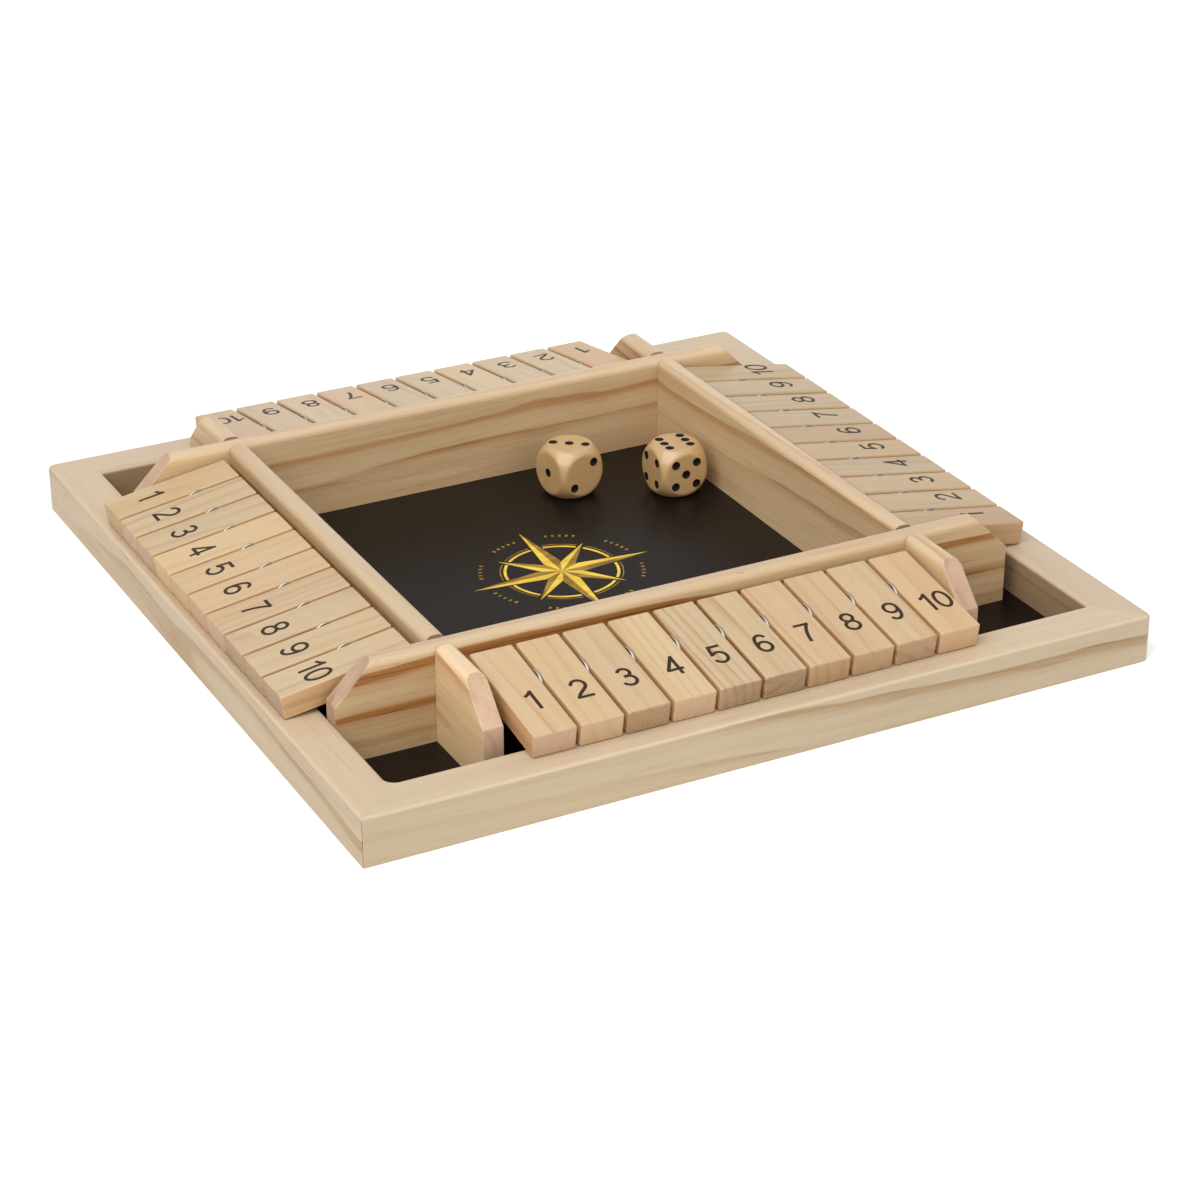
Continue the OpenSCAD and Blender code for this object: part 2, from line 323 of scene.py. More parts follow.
SIDES = ("front", "right", "back", "left")
rail_low, rail_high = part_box("frame_rail_front")
frame_half = -rail_low.y
rail_width = rail_high.y - rail_low.y
rail_height = rail_high.z
floor_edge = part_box("floor_board")[1].x
floor_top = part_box("floor_board")[1].z
floor_play = 0.2 * MM
rabbet = floor_edge + floor_play - (frame_half - rail_width)
top_ease, bottom_ease = 1.5 * MM, 0.3 * MM

# Rounding of the outer corners, of the front left one, and of the opening's corner behind that
outer_corner, sharp_corner, opening_corner = 3.0 * MM, 0.8 * MM, 4.0 * MM

# The hairline in every mitre, and the wider gap on the outside of the one at the front left
mitre_line, front_left_line = 0.01 * MM, 0.07 * MM

# The rail's section as (distance in from the outer face, height)
rail_section = (
    [(bottom_ease, 0.0), (0.0, bottom_ease)]
    + quarter((top_ease, rail_height - top_ease), top_ease, 180, 8)
    + quarter((rail_width - top_ease, rail_height - top_ease), top_ease, 90, 8)
    + [(rail_width, floor_top), (rail_width - rabbet, floor_top), (rail_width - rabbet, 0.0)]
)


def corner_radius(inward, at_front_left):
    """The plan's rounding at a mitre, for a line along the rail this far in from its outer face."""
    outer = (sharp_corner if at_front_left else outer_corner) - inward
    from_opening = rail_width - inward
    inner = opening_corner + from_opening if at_front_left and from_opening <= top_ease else 0.0
    return max(outer, inner, 0.0)


CORNER_STEPS = 6


def rail_station(side, end, step):
    """The rail's section at one step round the corner at its end -1 or 1, up to the mitre."""
    at_front_left = (SIDES[side], end) in (("front", -1), ("left", 1))
    turn = math.radians(45 * step / CORNER_STEPS)
    points = []
    for inward, height in rail_section:
        half = frame_half - inward
        radius = corner_radius(inward, at_front_left)
        out = half - radius + radius * math.cos(turn)
        along = half - radius + radius * math.sin(turn)
        if step == CORNER_STEPS:
            along -= front_left_line if at_front_left and inward < sharp_corner else mitre_line
        points.append((end * along, -out, height))
    return points


# The colour pair is painted shade for the rails' sides: the first on the outer sides, the browner second
# one on the inner sides
frame_pine = pine("frame_pine", srgb(203, 183, 155), srgb(152, 124, 82), srgb(120, 80, 46),
                  (srgb(160, 143, 115), srgb(142, 102, 62)), contrast=1.1, on_top=0.08)
rail_logs = {
    "front": dict(pith=(116, 8), along=0, slope=(0.0, 0.03), tone=1.0, figure=0.9, rings=7.5),
    "right": dict(pith=(146, 61), along=900, slope=(0.0, 0.008), tone=0.96, figure=0.8, rings=5.2),
    "back": dict(pith=(141, -78), along=2100, slope=(0.0, 0.01), tone=0.965, figure=0.8, rings=5.0),
    "left": dict(pith=(124, -8), along=3620, slope=(0.02, 0.03), tone=0.985, blush=0.05, figure=1.5,
                 rings=4.6),
}
for side, side_name in enumerate(SIDES):
    bm = bmesh.new()
    stations = [rail_station(side, -1, step) for step in range(CORNER_STEPS, -1, -1)]
    stations += [rail_station(side, 1, step) for step in range(CORNER_STEPS + 1)]
    tube(bm, stations)
    bmesh.ops.remove_doubles(bm, verts=bm.verts, dist=1e-7)
    rail = into_scene(f"rail_{side_name}", bm)
    cut_from_log(rail, frame_pine, **rail_logs[side_name])
    turned = Matrix.Rotation(math.radians(90 * side), 4, "Z")
    fitted(rail, turned, "board", "frame_pine", f"frame_rail_{side_name}")


# ---- Floor board ------------------------------------------------------------------------------
# One thin board, coated satin black, held in the rabbets of the rails. A gold star in the style
# of a compass rose is printed in the middle of the dice tray.

black_coat, coat_shader, start = new_finish("black_coat", Specular_IOR_Level=0.18)
spot = start.surface()
cloud = spot.noise((0.06, 0.05, 0.05), 3.0)
orange_peel = spot.noise(0.0011, 2.0)
dust = spot.noise(0.00045, 1.0).ramp(0.76, 0.82)
coat_colour = cloud.blend(srgb(12, 8, 7), srgb(20, 15, 13))
coat_colour = (dust * 0.14).blend(coat_colour, srgb(150, 145, 140))
apply_to(coat_shader, "Base Color", coat_colour)
apply_to(coat_shader, "Roughness", 0.26 + 0.14 * cloud + 0.2 * dust)
apply_to(coat_shader, "Normal", relief(orange_peel, 0.00003))
floor_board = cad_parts["floor_board"]
floor_board.material_slots[0].material = black_coat


def flat_print(name, shapes, thickness):
    """A printed film that stands on z = 0. Shapes are lists of convex faces, each a list of
    points, and what overlaps within a shape is united."""
    bm = bmesh.new()
    for index, faces in enumerate(shapes):
        points = [Vector(p) for face in faces for p in face]
        counts = np.cumsum([0] + [len(face) for face in faces])
        loops = [list(range(a, b)) for a, b in zip(counts, counts[1:])]
        found, _, triangles, _, _, covered_by = delaunay_2d_cdt(points, [], loops, 1, 1e-7)
        top = [bm.verts.new((p.x, p.y, thickness)) for p in found]
        foot = [bm.verts.new((p.x, p.y, 0.0)) for p in found]
        printed = [triangle for triangle, sources in zip(triangles, covered_by) if sources]
        for triangle in printed:
            bm.faces.new([top[k] for k in triangle]).material_index = index
            bm.faces.new([foot[k] for k in reversed(triangle)]).material_index = index
        edges = [edge for triangle in printed for edge in zip(triangle, triangle[1:] + triangle[:1])]
        directed = set(edges)
        for a, b in edges:
            if (b, a) not in directed:
                bm.faces.new((top[b], top[a], foot[a], foot[b])).material_index = index
    loose = [v for v in bm.verts if not v.link_faces]
    bmesh.ops.delete(bm, geom=loose, context="VERTS")
    return into_scene(name, bm)


def on_circle(radius, degrees):
    return (radius * math.cos(math.radians(degrees)), radius * math.sin(math.radians(degrees)))


def band(inner, outer, first, last, steps=1):
    """The faces of a band round the middle, between two angles."""
    turns = [first + (last - first) * k / steps for k in range(steps + 1)]
    return [[on_circle(inner, a), on_circle(outer, a), on_circle(outer, b), on_circle(inner, b)]
            for a, b in zip(turns, turns[1:])]


def star_points(tip, waist, first, lit):
    """Halves of four star points, spread round the middle: lit is 1 for the lit ones, or -1."""
    return [[(0, 0), on_circle(tip, a), on_circle(waist, a + lit * 22.5)][::lit]
            for a in range(first, 360 + first, 90)]


def printed_gold(name, thin, thick):
    """Gold ink, with the colours it has where it lies thin and where it lies thick."""
    finish, shader, start = new_finish(name, Specular_IOR_Level=0.5)
    spot = start.surface()
    flow = spot.noise((0.012, 0.004, 0.004), 3.0)
    speckle = spot.noise(0.0004, 2.0)
    colour = (0.75 * flow.ramp(0.36, 0.66) + 0.25 * speckle).blend(thin, thick)
    apply_to(shader, "Base Color", colour)
    apply_to(shader, "Roughness", 0.36 + 0.16 * speckle)
    apply_to(shader, "Normal", relief(speckle, 0.00002))
    return finish


tray_middle = (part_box("left_wall")[1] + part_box("right_wall")[0]) / 2
star_tip, star_waist, small_tip, small_waist = 36 * MM, 9 * MM, 25 * MM, 7.5 * MM
ring_inner, ring_outer, line_inner, line_outer = 20.5 * MM, 21.6 * MM, 22.6 * MM, 23.0 * MM
mark_inner, mark_outer, mark_half_turn = 29.5 * MM, 31 * MM, 0.9
film_thickness = 0.03 * MM
bright = star_points(star_tip, star_waist, 0, 1) + star_points(small_tip, small_waist, 45, 1)
shaded = star_points(star_tip, star_waist, 0, -1) + star_points(small_tip, small_waist, 45, -1)

# The ring and the line round it stop 7 degrees short of a long point and 4 short of a small one
for octant in range(8):
    before, after = (7, 4) if octant % 2 == 0 else (4, 7)
    first, last = 45 * octant + before, 45 * (octant + 1) - after
    bright += band(ring_inner, ring_outer, first, last, 12)
    shaded += band(line_inner, line_outer, first, last, 12)

# Five marks stand between each two points
for mark in range(72):
    if 2 <= mark % 9 <= 6:
        shaded += band(mark_inner, mark_outer, 5 * mark - mark_half_turn, 5 * mark + mark_half_turn)
star = flat_print("tray_star", [bright, shaded], film_thickness)
star.data.materials.append(printed_gold("gold_print", srgb(222, 180, 38), srgb(245, 216, 84)))
star.data.materials.append(printed_gold("shaded_gold_print", srgb(120, 88, 22), srgb(176, 134, 30)))
star.data.transform(Matrix.Translation((tray_middle.x, tray_middle.y, floor_top)))
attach(star, "board")


# ---- Walls and end plates ---------------------------------------------------------------------
# Strips of pine with rounded tops, glued down on edge. The long walls run past the tray and end
# in a slanted cut, the short walls fit between them, and four end plates stand against them.

# Painted shade colour for the walls' sides, a little warmer than their tops
wall_painted_side_shade = srgb(212, 181, 133)
wall_pine = pine("wall_pine", srgb(209, 185, 152), srgb(170, 114, 58), srgb(112, 68, 34),
                 (wall_painted_side_shade, wall_painted_side_shade), contrast=0.9, on_top=0.45)
wall_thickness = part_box("front_wall")[1].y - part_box("front_wall")[0].y
wall_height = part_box("front_wall")[1].z - floor_top
wall_round, plate_cut, cut_ease = 3.0 * MM, 14.0 * MM, 0.35 * MM

# The rods' ends sit in blind bores, which are a little deeper than they need be
rod_low, rod_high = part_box("hinge_rod_front")
rod_radius = (rod_high.z - rod_low.z) / 2
rod_height = (rod_high.z + rod_low.z) / 2
rod_end_gap = 0.3 * MM
rod_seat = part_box("end_plate_front_left")[1].x - rod_low.x + rod_end_gap


def settle(piece, cutter):
    """Makes a piece's boolean cut part of its mesh, and takes the cutter away."""
    shading = piece.modifiers["face weighted shading"]
    shading.show_viewport = False
    graph = bpy.context.evaluated_depsgraph_get()
    mesh = bpy.data.meshes.new_from_object(piece.evaluated_get(graph))
    piece.modifiers.remove(next(m for m in piece.modifiers if m.type == "BOOLEAN"))
    shading.show_viewport = True
    piece.data = mesh
    shade_crisp(mesh)
    bpy.data.objects.remove(cutter)


def bored(piece, place, radius, depth):
    """Drills a blind or through bore along y, this deep to both sides of the place."""
    bm = bmesh.new()
    along_y = place @ Matrix.Rotation(math.radians(90), 4, "X")
    bmesh.ops.create_cone(bm, cap_ends=True, segments=40, radius1=radius, radius2=radius,
                          depth=2 * depth, matrix=along_y)
    cutter = into_scene("drill", bm)
    boolean = piece.modifiers.new("bore", "BOOLEAN")
    boolean.operation, boolean.solver, boolean.object = "DIFFERENCE", "EXACT", cutter
    settle(piece, cutter)


def wall_board(name, length, cut_ends, bores):
    """A round-topped board from x = 0 to its length, with slanted cuts at the ends named by -1
    or 1, and blind bores for the rods given as (distance along, height, side)."""
    half = wall_thickness / 2
    section = [(-half, 0.0)]
    section += quarter((wall_round - half, wall_height - wall_round), wall_round, 180, 10)
    section += quarter((half - wall_round, wall_height - wall_round), wall_round, 90, 10)
    section += [(half, 0.0)]
    bm = bmesh.new()
    tube(bm, [[(x, y, z) for y, z in section] for x in (0.0, length)])
    end_x = {-1: 0.0, 1: length}
    for end in cut_ends:
        corner = Vector((end_x[end], 0.0, wall_height - plate_cut))
        geometry = bm.verts[:] + bm.edges[:] + bm.faces[:]
        cut = bmesh.ops.bisect_plane(bm, geom=geometry, plane_co=corner, plane_no=(end, 0, 1),
                                     clear_outer=True, dist=1e-7)
        rim = [e for e in cut["geom_cut"] if isinstance(e, bmesh.types.BMEdge)]
        bmesh.ops.edgeloop_fill(bm, edges=rim)
    bmesh.ops.recalc_face_normals(bm, faces=bm.faces)

    # The edges round a slanted cut are eased with sandpaper, and those at the foot stay as they are
    sharp = []
    for edge in bm.edges:
        middle = (edge.verts[0].co + edge.verts[1].co) / 2
        near_cut = any(abs(middle.x - end_x[end]) < plate_cut * 1.01 for end in cut_ends)
        if near_cut and middle.z > MM and edge.calc_face_angle(0) > math.radians(25):
            sharp.append(edge)
    bmesh.ops.bevel(bm, geom=sharp, offset=cut_ease, segments=2, profile=0.6, affect="EDGES",
                    clamp_overlap=True)
    board = into_scene(name, bm)
    for along, height, side in bores:
        bored(board, Matrix.Translation((along, side * half, height)), rod_radius, rod_seat)
    return board


wall_logs = {
    "front_wall": dict(pith=(-34, 22), along=300, slope=(0.006, 0.010), tone=0.925, figure=1.8,
                       rings=8.5),
    "back_wall": dict(pith=(-44, -4), along=1500, slope=(0.004, -0.016), tone=0.99, figure=0.75,
                      rings=4.4),
    "left_wall": dict(pith=(36, 10), along=2700, slope=(0.004, 0.018), tone=0.9, rings=7.0),
    "right_wall": dict(pith=(-34, -12), along=3900, slope=(-0.012, 0.03), tone=1.02, figure=0.75,
                       rings=4.6),
    "end_plate_front_left": dict(pith=(24, -10), along=5100, slope=(0.01, 0.05), tone=1.18,
                                 figure=0.75, rings=7.0),
    "end_plate_front_right": dict(pith=(-31, -30), along=6300, slope=(0.0, -0.03), tone=1.01,
                                  rings=7.5),
    "end_plate_back_left": dict(pith=(36, 12), along=7500, slope=(0.0, 0.04), tone=1.0, rings=6.5),
    "end_plate_back_right": dict(pith=(-29, 14), along=8700, slope=(0.0, -0.04), tone=0.99,
                                 rings=7.0),
}
bore_height = rod_height - floor_top
for node, log in wall_logs.items():
    low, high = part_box(node)
    size, middle = high - low, (low + high) / 2
    length = max(size.x, size.y)
    if node in ("front_wall", "back_wall"):
        inner_side = 1 if node == "front_wall" else -1
        turn, cut_ends, bores = 0, (-1, 1), []
        for rod in (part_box("hinge_rod_left"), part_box("hinge_rod_right")):
            bores.append(((rod[0].x + rod[1].x) / 2 - low.x, bore_height, inner_side))
    elif node in ("left_wall", "right_wall"):
        turn, cut_ends, bores = 90, (), ()
    else:
        outward = -1 if "front" in node else 1
        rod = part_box("hinge_rod_front" if "front" in node else "hinge_rod_back")
        wall_face = high.y if outward < 0 else low.y
        along = abs((rod[0].y + rod[1].y) / 2 - wall_face)
        towards_row = 1 if "left" in node else -1
        turn, cut_ends, bores = 90 * outward, (1,), [(along, bore_height, -outward * towards_row)]
    board = wall_board(f"{node}_board", length, cut_ends, bores)
    cut_from_log(board, wall_pine, **log)
    place = (Matrix.Translation((middle.x, middle.y, floor_top))
             @ Matrix.Rotation(math.radians(turn), 4, "Z") @ Matrix.Translation((-length / 2, 0, 0)))
    fitted(board, place, "board", "wall_pine", node)


# ---- Hinge rods and washers -------------------------------------------------------------------
# A row's tiles are threaded on one rod of bright drawn steel, with a punched and zinc-plated
# washer between each two, whose rim shows in the gap.

def bright_metal(name, tint, along, polish):
    """Metal with fine lines, as long along x, y and z as the sizes say, in metres."""
    finish, shader, start = new_finish(name, Metallic=1.0)
    spot = start.surface()
    lines = spot.noise(along, 3.0, 0.6)
    bloom = spot.noise(0.004, 2.0)
    apply_to(shader, "Base Color", bloom.blend(srgb(*tint), srgb(*(c * 0.9 for c in tint))))
    apply_to(shader, "Roughness", polish + 0.16 * lines + 0.08 * bloom)
    apply_to(shader, "Normal", relief(lines, 0.00002))
    return finish


rod_steel = {
    "x": bright_metal("rod_steel_x", (205, 206, 209), (0.02, 0.0002, 0.0002), 0.2),
    "y": bright_metal("rod_steel_y", (205, 206, 209), (0.0002, 0.02, 0.0002), 0.2),
}
washer_zinc = bright_metal("washer_zinc", (203, 195, 181), 0.0005, 0.34)
washer_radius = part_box("spacer_washers")[1].z - rod_height
washer_hole, washer_half, washer_ease = 1.6 * MM, 0.5 * MM, 0.22 * MM
rim_flat, rim_shoulder, rim_drop = 0.2 * MM, 0.38 * MM, 0.07 * MM


def row_place(side):
    """The middle of a row's rod, with x outward from the tray and y along the row, from 1 to 10."""
    low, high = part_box(f"hinge_rod_{SIDES[side]}")
    return Matrix.Translation((low + high) / 2) @ Matrix.Rotation(math.radians(90 * side - 90), 4, "Z")


def along_row(side, node):
    """How far along its row a tile's middle lies."""
    low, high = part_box(node)
    return (row_place(side).inverted() @ ((low + high) / 2)).y


# One half of a washer's section, from its hole to its rim, as (radius, distance from its middle)
half_section = [
    (washer_hole, -washer_half + washer_ease), (washer_hole + washer_ease, -washer_half),
    (washer_radius - washer_ease, -washer_half), (washer_radius - rim_drop, -rim_shoulder),
    (washer_radius, -rim_flat),
]
washer_section = half_section + [(radius, -out) for radius, out in reversed(half_section)]
WASHER_STEPS = 64
ROW_COUNT = 10
for side, side_name in enumerate(SIDES):
    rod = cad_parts[f"hinge_rod_{side_name}"]
    rod.material_slots[0].material = rod_steel["xy"[side % 2]]
    bm = bmesh.new()
    for k in range(1, ROW_COUNT):
        before, after = (along_row(side, f"tile_{side_name}_{n}") for n in (k, k + 1))
        middle = (before + after) / 2
        rings = []
        for step in range(WASHER_STEPS):
            turn = 2 * math.pi * step / WASHER_STEPS
            rings.append([bm.verts.new((r * math.cos(turn), middle + y, r * math.sin(turn)))
                          for r, y in washer_section])
        for ring, following in zip(rings, rings[1:] + rings[:1]):
            for a in range(len(washer_section)):
                b = (a + 1) % len(washer_section)
                bm.faces.new((ring[a], ring[b], following[b], following[a]))
    washers = into_scene(f"washers_{side_name}", bm)
    washers.data.materials.append(washer_zinc)
    fitted(washers, row_place(side), "board", "washer_steel", "spacer_washers")


# ---- Tiles and their numbers ------------------------------------------------------------------
# Forty blocks of pine, sawn from strips of many boards, bored for the rod and with lightly
# rounded edges. Each has its number printed in black on the outer half, upright for its player.

# Painted shade colour for the tiles' sides, a warm orange where shade falls in the gaps between them
tile_painted_side_shade = srgb(207, 156, 103)
tile_pine = pine("tile_pine", srgb(204, 181, 145), srgb(170, 128, 82), srgb(118, 74, 40),
                 (tile_painted_side_shade, tile_painted_side_shade), contrast=1.25)
tile_low, tile_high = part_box("tile_front_1")
tile_width = tile_high.x - tile_low.x
tile_ease, bore_play = 0.8 * MM, 0.08 * MM


def lying_tile(node):
    """A front tile's tilt as it lies, its reach on both sides of the rod and its half thickness."""
    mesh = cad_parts[node].data
    back = row_place(SIDES.index("front")).inverted()
    flat = max(mesh.polygons, key=lambda face: face.area)
    normal = back.to_3x3() @ flat.normal
    tilt = math.atan(normal.x / normal.z)
    level = Matrix.Rotation(-tilt, 4, "Y") @ back
    points = [level @ v.co for v in mesh.vertices]
    return (tilt, min(p.x for p in points), max(p.x for p in points), max(p.z for p in points))


tile_tilt, tile_inner, tile_outer, tile_half = lying_tile("tile_front_1")
bm = bmesh.new()
bmesh.ops.create_cube(bm, size=1.0)
bmesh.ops.scale(bm, verts=bm.verts, vec=(tile_outer - tile_inner, tile_width, 2 * tile_half))
bmesh.ops.translate(bm, verts=bm.verts, vec=((tile_outer + tile_inner) / 2, 0, 0))
bmesh.ops.bevel(bm, geom=bm.edges[:], offset=tile_ease, segments=4, profile=0.5, affect="EDGES")
blank = into_scene("tile_blank", bm)
bored(blank, Matrix.Identity(4), rod_radius + bore_play, tile_width)

# Each row was printed by itself, with its numbers' middles this many mm outward from the rod, and
# this many along the row from a tile's middle
digit_places = {"front": (13.0, 0.7), "right": (14.1, 1.5), "back": (15.9, -1.1), "left": (14.7, 0.0)}
digit_height = 10.15 * MM
print_thickness, print_soak = 0.035 * MM, 0.004 * MM

# The numerals are drawn as strokes of one width round their middle lines, in a height of 1. The
# digits of 10 stand this far from its middle
stroke = 0.124
ten_shifts = (-0.3, 0.28)


def arc(x, y, across, up, first, last, steps=20):
    """A stretch of an ellipse round x and y, between two angles."""
    turns = [math.radians(first + (last - first) * k / steps) for k in range(steps + 1)]
    return [(x + across * math.cos(a), y + up * math.sin(a)) for a in turns]


def bend(a, b, c, d, steps=14):
    """A smooth curve from a to d that leaves towards b and arrives from c."""
    points = []
    for k in range(steps + 1):
        t = k / steps
        weights = ((1 - t) ** 3, 3 * t * (1 - t) ** 2, 3 * t * t * (1 - t), t ** 3)
        points.append(tuple(sum(w * p[axis] for w, p in zip(weights, (a, b, c, d))) for axis in (0, 1)))
    return points


low_line, high_line = stroke / 2, 1 - stroke / 2
six = [
    arc(0, 0.315, 0.235, 0.315 - low_line, 0, 360, 36),
    bend((-0.235, 0.30), (-0.25, 0.70), (-0.14, high_line), (0.03, high_line))
    + arc(0.03, high_line - 0.19, 0.185, 0.19, 90, 12, 10)[1:],
]
DIGITS = {
    "0": [arc(0, 0.5, 0.25, 0.5 - low_line, 0, 360, 40)],
    "1": [[(0.07, 0), (0.07, 1)], bend((0.09, 0.98), (0.02, 0.86), (-0.09, 0.78), (-0.2, 0.735))],
    "2": [arc(0, high_line - 0.255, 0.24, 0.255, 172, -28)
          + bend((0.212, 0.569), (0.12, 0.4), (-0.18, 0.28), (-0.255, 0.03))[1:],
          [(-0.312, low_line), (0.3, low_line)]],
    "3": [arc(-0.01, high_line - 0.205, 0.205, 0.205, 163, -90) + [(-0.09, high_line - 0.41)],
          arc(0, low_line + 0.245, 0.245, 0.245, 100, -163)],
    "4": [[(0.12, 0), (0.12, 1)], [(0.14, 0.97), (-0.28, 0.27)], [(-0.325, 0.28), (0.29, 0.28)]],
    "5": [[(-0.2, high_line), (0.245, high_line)], [(-0.155, 0.99), (-0.222, 0.46)],
          bend((-0.222, 0.49), (-0.14, 0.59), (-0.05, 0.62), (0.0, 0.62))
          + arc(0, 0.34, 0.25, 0.28, 90, -160)[1:]],
    "6": six,
    "7": [[(-0.28, high_line), (0.285, high_line)],
          bend((0.25, 0.96), (0.06, 0.72), (-0.07, 0.36), (-0.09, 0))],
    "8": [arc(0, high_line - 0.205, 0.2, 0.205, 0, 360, 32),
          arc(0, 0.295, 0.245, 0.295 - low_line, 0, 360, 36)],
    "9": [[(-x, 1 - y) for x, y in line] for line in six],
}


def ribbon(line, shift, scale):
    """The faces of a stroke round a line, shifted across and then made this much larger."""
    points = [Vector(p) for p in line]
    closed = (points[0] - points[-1]).length < 1e-6
    edges = []
    for k, point in enumerate(points):
        before = points[k - 1] if k else (points[-2] if closed else point)
        after = points[k + 1] if k + 1 < len(points) else (points[1] if closed else point)
        way = (after - before).normalized()
        side = Vector((-way.y, way.x)) * stroke / 2
        edges.append([((p.x + shift) * scale, (p.y - 0.5) * scale) for p in (point + side, point - side)])
    return [[a[0], a[1], b[1], b[0]] for a, b in zip(edges, edges[1:])]


def number_shape(number):
    """The strokes of a number from 1 to 10, with its middle at the origin."""
    text = str(number)
    shifts = ten_shifts if len(text) > 1 else (0.0,)
    return [face for digit, shift in zip(text, shifts) for line in DIGITS[digit]
            for face in ribbon(line, shift, digit_height)]


ink, ink_shader, start = new_finish("number_ink", Specular_IOR_Level=0.28)
soak = start.surface().noise(0.0006, 2.0)
apply_to(ink_shader, "Base Color", soak.ramp(0.3, 0.75).blend(srgb(42, 27, 15), srgb(64, 46, 30)))
apply_to(ink_shader, "Roughness", 0.5 + 0.2 * soak)
apply_to(ink_shader, "Normal", relief(soak, 0.00002))

# Each row's tiles are darkened by a factor of their own; on the right row, which faces away from the
# light, this darkening is painted shade
row_tone_and_shade = {"front": 1.0, "right": 0.795, "back": 0.88, "left": 0.915}
timber = random.Random(11)
for side, side_name in enumerate(SIDES):
    for number in range(1, ROW_COUNT + 1):
        node = f"tile_{side_name}_{number}"
        place = (row_place(side) @ Matrix.Translation((0, along_row(side, node), 0))
                 @ Matrix.Rotation(tile_tilt, 4, "Y"))
        tile = blank.copy()
        tile.data = blank.data.copy()
        tile.name = f"{node}_block"
        bpy.context.scene.collection.objects.link(tile)
        turn, distance = timber.uniform(0, 2 * math.pi), timber.uniform(24, 75)
        cut_from_log(tile, tile_pine, pith=(distance * math.cos(turn), distance * math.sin(turn)),
                     along=timber.uniform(0, 4000), slope=(timber.gauss(0, 0.03), timber.gauss(0, 0.03)),
                     tone=row_tone_and_shade[side_name] * timber.uniform(0.93, 1.045),
                     blush=timber.gauss(0.06, 0.33), figure=timber.uniform(0.5, 1.15),
                     rings=timber.uniform(2.4, 6.0))
        fitted(tile, place, node, "tile_pine", node)
        digits = flat_print(f"{node}_number", [number_shape(number)], print_thickness)
        digits.data.materials.append(ink)
        outward, along = (shift * MM for shift in digit_places[side_name])
        upright = (Matrix.Translation((outward, along, tile_half - print_soak))
                   @ Matrix.Rotation(math.radians(90), 4, "Z"))
        digits.data.transform(place @ upright)
        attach(digits, node)
bpy.data.objects.remove(blank)


# ---- Dice -------------------------------------------------------------------------------------
# Two turned and tumbled beech cubes, whose corners were rounded off to a ball, with drilled pips
# painted black and a clear satin lacquer over all.

die_low, die_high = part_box("die_1")
die_half = (die_high.z - die_low.z) / 2
corner_loss = 4.2 * MM
die_ball = math.sqrt(3) * die_half - corner_loss
die_blend = 0.55 * MM
pip_radius, pip_depth, pip_pitch = 1.76 * MM, 0.5 * MM, 4.5 * MM
pip_ball = (pip_radius ** 2 + pip_depth ** 2) / (2 * pip_depth)
DIE_STEPS = 44

die_wood, die_shader, start = new_finish("die_wood", Coat_Roughness=0.2, Coat_IOR=1.5)
grain = start.stored("grain")
rays = grain.noise((9, 0.5, 0.5), 3.0, 0.6)
flecks = grain.noise((1.2, 0.16, 0.16), 1.0).ramp(0.64, 0.74)
clouds = grain.noise((16, 6, 6), 2.0)
wood = (0.6 * rays.ramp(0.35, 0.7) + 0.4 * clouds).blend(srgb(203, 168, 119), srgb(187, 149, 98))
wood = (0.22 * flecks).blend(wood, srgb(150, 106, 64))
apply_to(die_shader, "Base Color", wood)
apply_to(die_shader, "Roughness", 0.36 + 0.1 * rays)
apply_to(die_shader, "Coat Weight", 0.75 + 0.2 * clouds)
apply_to(die_shader, "Normal", relief(rays, 0.00004))

pip_paint, pip_shader, start = new_finish("pip_paint", Specular_IOR_Level=0.25)
skin = start.stored("grain").noise(0.4, 2.0)
apply_to(pip_shader, "Base Color", skin.blend(srgb(12, 11, 10), srgb(24, 21, 19)))
apply_to(pip_shader, "Roughness", 0.42 + 0.2 * skin)
apply_to(pip_shader, "Normal", relief(skin, 0.00003))


def die_point(direction):
    """Where a line from the die's middle meets its face or its ball, blended at the rim."""
    cube = die_half / max(abs(c) for c in direction)
    on_face = max(0.0, min(1.0, 0.5 + 0.5 * (die_ball - cube) / die_blend))
    reach = on_face * cube + (1 - on_face) * die_ball - die_blend * on_face * (1 - on_face)
    return direction * reach


def pip_places(number):
    """The places of a face's pips, in steps from its middle."""
    if number == 6:
        return [(x, y) for x in (-1, 1) for y in (-1, 0, 1)]
    middle = [(0, 0)] if number % 2 else []
    corners = [(-1, 1), (1, -1)] if number == 3 else [(-1, -1), (1, 1)] if number == 2 else []
    if number > 3:
        corners = [(x, y) for x in (-1, 1) for y in (-1, 1)]
    return middle + corners


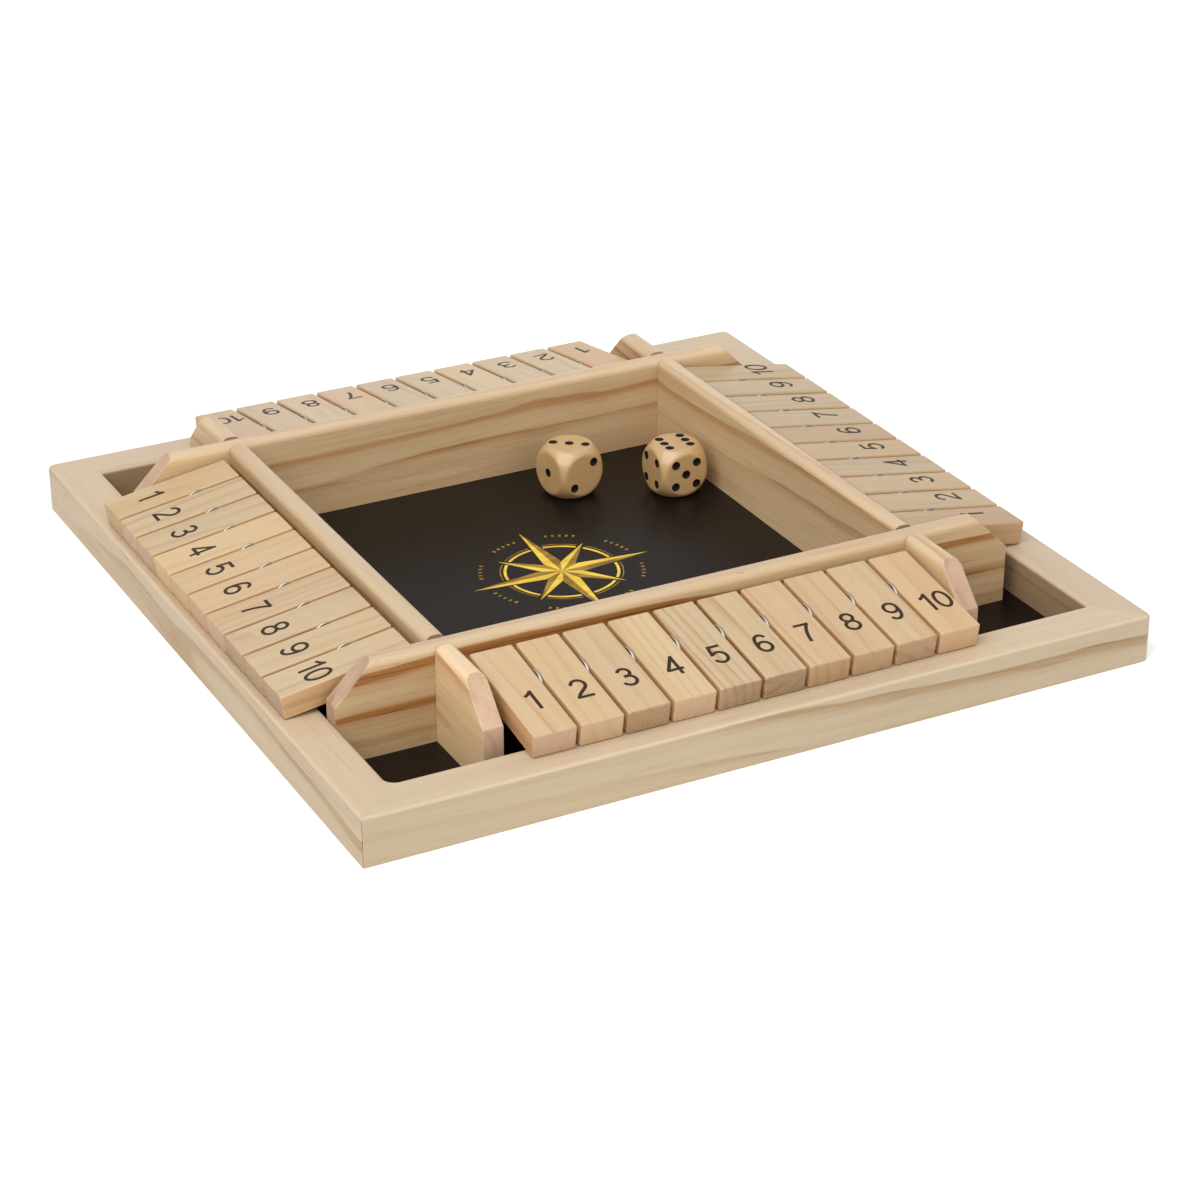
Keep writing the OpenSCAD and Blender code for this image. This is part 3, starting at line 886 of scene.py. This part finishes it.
def die_piece(name, node, turn, top, front, left):
    """A die that shows these numbers, with opposite faces adding up to seven."""
    bm = bmesh.new()
    bmesh.ops.create_cube(bm, size=2.0)
    bmesh.ops.subdivide_edges(bm, edges=bm.edges[:], cuts=DIE_STEPS, use_grid_fill=True)
    for vert in bm.verts:
        spread = Vector([math.tan(c * math.pi / 4) for c in vert.co])
        vert.co = die_point(spread.normalized())
    die = into_scene(name, bm)
    bm = bmesh.new()
    faces = ((top, "X", 0), (7 - top, "X", 180), (front, "X", 90), (7 - front, "X", -90),
             (left, "Y", -90), (7 - left, "Y", 90))
    for number, axis, degrees in faces:
        for x, y in pip_places(number):
            centre = Vector((x * pip_pitch, y * pip_pitch, die_half + pip_ball - pip_depth))
            place = Matrix.Rotation(math.radians(degrees), 4, axis) @ Matrix.Translation(centre)
            bmesh.ops.create_uvsphere(bm, u_segments=48, v_segments=32, radius=pip_ball, matrix=place)
    drill = into_scene("pip_drill", bm)
    drill.data.materials.append(pip_paint)
    cut_from_log(die, die_wood, pith=(0, 0))
    die.data.materials.append(pip_paint)
    boolean = die.modifiers.new("pips", "BOOLEAN")
    boolean.operation, boolean.solver, boolean.object = "DIFFERENCE", "EXACT", drill
    boolean.material_mode = "TRANSFER"
    settle(die, drill)
    low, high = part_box(node)
    place = Matrix.Translation((low + high) / 2) @ Matrix.Rotation(math.radians(turn), 4, "Z")
    fitted(die, place, node, "die_wood", node)


die_piece("wooden_die_1", "die_1", turn=8.2, top=3, front=2, left=1)
die_piece("wooden_die_2", "die_2", turn=-1.7, top=6, front=5, left=4)


# ---- The floor of the studio ------------------------------------------------------------------
# A plain pale floor that the game stands on. It isn't part of the object.

floor_mesh = bpy.data.meshes.new("studio_floor")
reach = 12.0
floor_mesh.from_pydata([(-reach, -reach, 0), (reach, -reach, 0), (reach, reach, 0), (-reach, reach, 0)],
                       [], [(0, 1, 2, 3)])
pale, pale_shader, start = new_finish("pale_floor", Roughness=0.7, Specular_IOR_Level=0.2,
                                     Emission_Color=(1.0, 1.0, 1.0, 1.0), Emission_Strength=0.14)
drift = start.surface().noise(1.5, 1.0)
apply_to(pale_shader, "Base Color", drift.blend(srgb(250, 250, 250), srgb(252, 252, 252)))
floor_mesh.materials.append(pale)
studio_floor = bpy.data.objects.new("studio_floor", floor_mesh)
bpy.context.scene.collection.objects.link(studio_floor)
